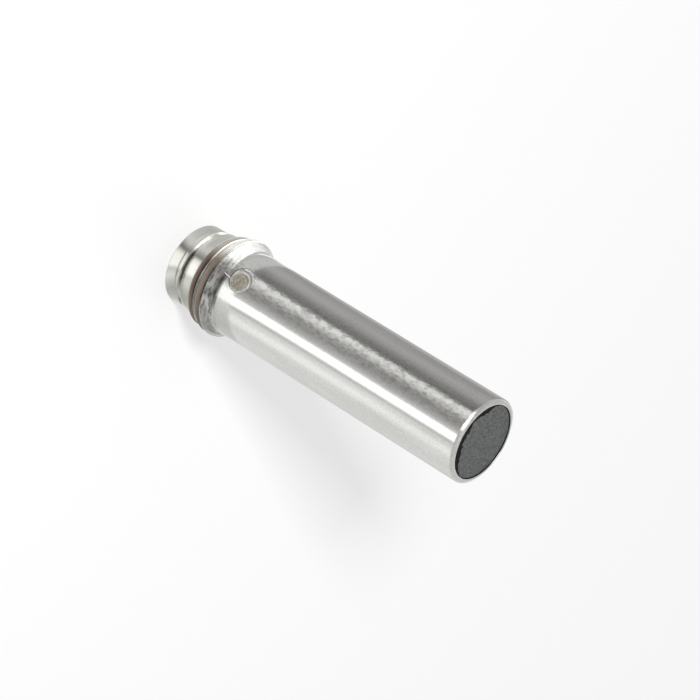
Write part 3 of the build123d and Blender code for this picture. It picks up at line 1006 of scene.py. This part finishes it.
# Painted highlight: the rubber is whitened towards one side, more on the front ring.
painted_highlight_centre = toward(painted_highlight_angle, 0) * painted_highlight_r * MM
painted_highlight_flat = add(tree, "VectorMath", {"operation": "MULTIPLY"}, {1: (1, 1, 0)}, {
    0: place.outputs["Object"],
})
painted_highlight_reach = add(tree, "VectorMath", {"operation": "DISTANCE"}, {1: painted_highlight_centre}, {
    0: painted_highlight_flat.outputs[0],
})
painted_highlight = add(tree, "MapRange", values={
    "From Min": painted_highlight_band[0] * MM, "From Max": painted_highlight_band[1] * MM,
}, links={"Value": painted_highlight_reach.outputs["Value"]})
ring_height = add(tree, "SeparateXYZ", links={0: place.outputs["Object"]})
painted_highlight_depth = add(tree, "MapRange", values={
    "From Min": collar_start * MM, "From Max": tube_seat_start * MM, "To Min": 0.3, "To Max": 0.8,
}, links={"Value": ring_height.outputs["Z"]})
painted_highlight = add(tree, "Math", {"operation": "MULTIPLY"}, links={
    0: painted_highlight.outputs[0], 1: painted_highlight_depth.outputs[0],
})
highlighted_tone = add(tree, "MixRGB", values={"Color2": paint("#e4e2dc")}, links={
    "Fac": painted_highlight.outputs[0], "Color1": brown.outputs[0],
})
# The rings are darker and redder round the camera's side, the rear ring most.
darkening = add(tree, "Attribute", {"attribute_name": "darkening"})
darkened_tone = add(tree, "MixRGB", values={"Color2": paint("#421f10")}, links={
    "Fac": darkening.outputs["Fac"], "Color1": highlighted_tone.outputs[0],
})
# Painted shade: each ring's front edge is darkened, most near one side of the camera.
crevice_shade = add(tree, "Attribute", {"attribute_name": "painted_crevice_shade"})
tone = add(tree, "MixRGB", values={"Color2": paint("#140a04")}, links={
    "Fac": crevice_shade.outputs["Fac"], "Color1": darkened_tone.outputs[0],
})
relief = add(tree, "Bump", values={"Distance": 0.01 * MM}, links={"Height": bloom.outputs[0]})
shader = add(tree, "BsdfPrincipled", values={
    "Roughness": 0.45, "Coat Weight": 0.3, "Coat Roughness": 0.3, "Sheen Weight": 0.5,
    "Sheen Roughness": 0.35,
}, links={"Base Color": tone.outputs[0], "Normal": relief.outputs[0]})
add(tree, "OutputMaterial", links={"Surface": shader.outputs[0]})
for node_name, ring in rings.items():
    back = ring["back"] + ring_gap
    front = ring["back"] + ring["width"] - ring_gap
    middle = (back + front) / 2
    half = (front - back) / 2
    crown_r = ring["crown"] - half
    corners = [(ring["seat"], front, 0), (ring["seat"], back, 0)]
    for degrees in range(-90, 91, 10):
        flash = 0 if degrees else flash_height
        angle = math.radians(degrees)
        corners.append((crown_r + half * math.cos(angle) + flash, middle + half * math.sin(angle), 0))
    bm = turned(corners)
    crevice_shade_layer = bm.verts.layers.float.new("painted_crevice_shade")
    darkening_layer = bm.verts.layers.float.new("darkening")
    for v in bm.verts:
        side = side_of(v.co)
        nearness = []
        for dark_side, reach in (ring["painted_crevice_side"], darkening_side):
            nearness.append(min(1, max(0.1, 1.8 - abs(side - dark_side) / reach)))
        v[crevice_shade_layer] = min(1, max(0, (v.co.z - front + ring["painted_crevice_shade"]) / 0.1)) * nearness[0]
        v[darkening_layer] = ring["darkening"] * nearness[1]
    made = piece_from(node_name + "_moulded", bm, brown_rubber)
    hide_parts(node_name)
    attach(made, "root")


# Contact carrier
# An insert moulded in black glass-filled nylon stands on the ledge of the plug's bore. It holds
# the three contacts, and the end of the board in a slot.


def speckled(name, dark, light, grain_size, relief_height, surface):
    """Material with a grain of two tones, sized in millimetres along x, y and z, raised in relief."""
    material, tree = new_material(name)
    place = add(tree, "TexCoord")
    grain_place = add(tree, "Mapping", values={"Scale": repeats(grain_size)}, links={
        "Vector": place.outputs["Object"],
    })
    grain = add(tree, "TexNoise", values={"Scale": 1.0, "Detail": 2.0}, links={
        "Vector": grain_place.outputs[0],
    })
    speckle = add(tree, "MapRange", values={"From Min": 0.35, "From Max": 0.65}, links={
        "Value": grain.outputs[0],
    })
    tone = add(tree, "MixRGB", values={"Color1": paint(dark), "Color2": paint(light)}, links={
        "Fac": speckle.outputs[0],
    })
    relief = add(tree, "Bump", values={"Distance": relief_height * MM}, links={
        "Height": grain.outputs[0],
    })
    shader = add(tree, "BsdfPrincipled", values=surface, links={
        "Base Color": tone.outputs[0], "Normal": relief.outputs[0],
    })
    add(tree, "OutputMaterial", links={"Surface": shader.outputs[0]})
    return material


def finish(material, *names):
    """Give the frame's own nodes a material."""
    for name in names:
        for material_slot in frame["nodes"][name].material_slots:
            material_slot.material = material


# Glass fibres show as a fine dry grain, 0.15 mm, in the black.
glass_filled_nylon = speckled(
    "moulded_glass_filled_nylon", "#19191a", "#2c2c2d", (0.15, 0.15, 0.15), 0.006,
    {"Roughness": 0.5, "Specular IOR Level": 0.4},
)
finish(glass_filled_nylon, "contact_carrier")


# Contacts
# Three pins turned from brass bar and gold plated, pressed into the carrier. Their thin tails
# stand against the board and are soldered there.
# The plating keeps the turning marks, 0.05 mm apart, as faint rings in a warm bright gold.
gold_plate = speckled(
    "gold_plated_turned_brass", "#c58d38", "#e4ba69", (1.5, 1.5, 0.05), 0.001,
    {"Metallic": 1.0, "Roughness": 0.22},
)
finish(gold_plate, "contact_pin_1", "contact_pin_3", "contact_pin_4")

# Solder sets with a bright skin that is slightly wrinkled.
tin_solder = speckled(
    "reflowed_tin_solder", "#a4a5a3", "#cfd0ce", (0.3, 0.3, 0.3), 0.02,
    {"Metallic": 1.0, "Roughness": 0.3},
)
finish(tin_solder, "solder_joint_1", "solder_joint_3", "solder_joint_4")


# Circuit board
# A narrow strip of glass laminate between the carrier and the coil, copper tracks under green
# lacquer on both sides.
lacquered_laminate, tree = new_material("lacquered_glass_laminate")
# Lacquer lies darker in the gaps, 0.1 mm wide, between raised tracks and pads about 0.9 mm across.
track_pitch = 0.9
track_gap = 0.12
place = add(tree, "TexCoord")
track_place = add(tree, "Mapping", values={"Scale": repeats([track_pitch] * 3)}, links={
    "Vector": place.outputs["Object"],
})
tracks = add(tree, "TexVoronoi", {"feature": "DISTANCE_TO_EDGE", "distance": "CHEBYCHEV"}, {"Scale": 1.0}, {
    "Vector": track_place.outputs[0],
})
raised = add(tree, "MapRange", values={"From Min": 0.5 * track_gap, "From Max": 0.8 * track_gap}, links={
    "Value": tracks.outputs["Distance"],
})
tone = add(tree, "MixRGB", values={"Color1": paint("#0c3a20"), "Color2": paint("#1f7042")}, links={
    "Fac": raised.outputs[0],
})
relief = add(tree, "Bump", values={"Distance": 0.02 * MM}, links={"Height": raised.outputs[0]})
shader = add(tree, "BsdfPrincipled", values={
    "Roughness": 0.35, "Coat Weight": 0.6, "Coat Roughness": 0.2,
}, links={"Base Color": tone.outputs[0], "Normal": relief.outputs[0]})
add(tree, "OutputMaterial", links={"Surface": shader.outputs[0]})
finish(lacquered_laminate, "circuit_board")

# The packages are moulded in black epoxy with a fine matt grain, 0.08 mm.
moulded_epoxy = speckled(
    "moulded_black_epoxy", "#1d1d1e", "#303032", (0.08, 0.08, 0.08), 0.004,
    {"Roughness": 0.6, "Specular IOR Level": 0.35},
)
finish(moulded_epoxy, "oscillator_chip", "output_transistor", "protection_diode")


# Chip parts
# Fired ceramic blocks with tin-plated ends, soldered flat on the board: two capacitors in bare
# brown ceramic, and four resistors under a dark glaze.
plated_length = 0.35
ceramic_speck = 0.05
bare_brown = ("#7e664a", "#a38863")
dark_glaze = ("#1b1b20", "#34343c")
chip_parts = {
    "supply_capacitor": bare_brown,
    "tuning_capacitor": bare_brown,
    "trim_resistor": dark_glaze,
    "resistor_1": dark_glaze,
    "resistor_2": dark_glaze,
    "resistor_3": dark_glaze,
}
for node_name, (dark, light) in chip_parts.items():
    low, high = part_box(node_name)
    size = high - low
    long_axis = max(range(3), key=lambda axis: size[axis])
    ceramic, tree = new_material(node_name + "_fired_ceramic")
    # The ceramic has a fine speck, 0.05 mm, and the tin is a soft bright grey over each end.
    place = add(tree, "TexCoord")
    speck_place = add(tree, "Mapping", values={"Scale": repeats([ceramic_speck] * 3)}, links={
        "Vector": place.outputs["Object"],
    })
    specks = add(tree, "TexNoise", values={"Scale": 1.0}, links={"Vector": speck_place.outputs[0]})
    fired = add(tree, "MixRGB", values={"Color1": paint(dark), "Color2": paint(light)}, links={
        "Fac": specks.outputs[0],
    })
    axes = add(tree, "SeparateXYZ", links={0: place.outputs["Object"]})
    off_middle = add(tree, "Math", {"operation": "SUBTRACT"}, {1: (low[long_axis] + high[long_axis]) / 2}, {
        0: axes.outputs[long_axis],
    })
    off_middle = add(tree, "Math", {"operation": "ABSOLUTE"}, links={0: off_middle.outputs[0]})
    plated = add(tree, "Math", {"operation": "GREATER_THAN"}, {1: size[long_axis] / 2 - plated_length * MM}, {
        0: off_middle.outputs[0],
    })
    tone = add(tree, "MixRGB", values={"Color2": paint("#c9cac7")}, links={
        "Fac": plated.outputs[0], "Color1": fired.outputs[0],
    })
    relief = add(tree, "Bump", values={"Distance": 0.004 * MM}, links={"Height": specks.outputs[0]})
    shader = add(tree, "BsdfPrincipled", values={"Roughness": 0.35}, links={
        "Base Color": tone.outputs[0], "Metallic": plated.outputs[0], "Normal": relief.outputs[0],
    })
    add(tree, "OutputMaterial", links={"Surface": shader.outputs[0]})
    finish(ceramic, node_name)


# Status lamp
# A lamp in an amber lens, soldered on the board under the window's stem.
# The resin is cloudy with diffuser, in patches of 0.3 mm, under a glossy skin.
amber_lens = speckled(
    "cast_amber_resin", "#c98a1e", "#eab94a", (0.3, 0.3, 0.3), 0.002,
    {"Roughness": 0.25, "Coat Weight": 0.8, "Coat Roughness": 0.08},
)
finish(amber_lens, "status_led")


# Coil set
# A ferrite pot core, open towards the sensing face, holds a bobbin wound with fine copper wire.
# A ring of thin brass strip shields it, and a moulded disc behind it takes the board's end.
# Ground ferrite is a charcoal grey with fine pores, 0.1 mm, and a dull shine.
ground_ferrite = speckled(
    "ground_ferrite", "#2d2d30", "#48484d", (0.1, 0.1, 0.1), 0.006,
    {"Roughness": 0.5, "Specular IOR Level": 0.6},
)
finish(ground_ferrite, "ferrite_core")

# Natural nylon is a warm white with faint flow marks, 1 mm long, and an even soft shine.
natural_nylon = speckled(
    "moulded_natural_nylon", "#cfcab6", "#dfdbca", (1.0, 1.0, 0.4), 0.004,
    {"Roughness": 0.42},
)
finish(natural_nylon, "coil_former", "board_holder")

# Rolling leaves fine bright streaks round the brass strip, 0.04 mm apart.
rolled_brass = speckled(
    "rolled_brass_strip", "#b08a45", "#caa45c", (2.0, 2.0, 0.04), 0.001,
    {"Metallic": 1.0, "Roughness": 0.3},
)
finish(rolled_brass, "shield_ring")

wound_copper, tree = new_material("wound_enamelled_copper")
# Each turn of the wire, 0.16 mm thick, is a ridge round the coil, shiny under its enamel, with painted shade
# in the valleys between turns.
wire_pitch = 0.16
place = add(tree, "TexCoord")
axes = add(tree, "SeparateXYZ", links={0: place.outputs["Object"]})
turns = add(tree, "Math", {"operation": "MULTIPLY"}, {1: math.tau / (wire_pitch * MM)}, {
    0: axes.outputs["Z"],
})
ridges = add(tree, "Math", {"operation": "SINE"}, links={0: turns.outputs[0]})
ridge_height_and_shade = add(tree, "MapRange", values={"From Min": -1.0}, links={"Value": ridges.outputs[0]})
# Painted shade: the valleys between turns are darker.
tone = add(tree, "MixRGB", values={"Color1": paint("#8a4526"), "Color2": paint("#c67b48")}, links={
    "Fac": ridge_height_and_shade.outputs[0],
})
relief = add(tree, "Bump", values={"Distance": 0.04 * MM}, links={"Height": ridge_height_and_shade.outputs[0]})
shader = add(tree, "BsdfPrincipled", values={
    "Metallic": 1.0, "Roughness": 0.3, "Coat Weight": 0.8, "Coat Roughness": 0.1,
}, links={"Base Color": tone.outputs[0], "Normal": relief.outputs[0]})
add(tree, "OutputMaterial", links={"Surface": shader.outputs[0]})
finish(wound_copper, "coil_winding")

# The ends of the wire are single strands, clear enamel over drawn copper.
enamelled_wire = speckled(
    "enamelled_copper_wire", "#a65c33", "#c67b48", (0.1, 0.1, 0.6), 0.001,
    {"Metallic": 1.0, "Roughness": 0.28, "Coat Weight": 0.8, "Coat Roughness": 0.1},
)
finish(enamelled_wire, "coil_lead_1", "coil_lead_2")


# Potting
# Amber-brown epoxy poured in through the rear fills the tube round the board and the coil.
# It is cloudy in patches of 0.8 mm, with a glossy skin where it set.
cast_resin = speckled(
    "cast_brown_epoxy", "#43362a", "#5c4a38", (0.8, 0.8, 0.8), 0.01,
    {"Roughness": 0.3, "Coat Weight": 0.5, "Coat Roughness": 0.1},
)
finish(cast_resin, "potting_resin")
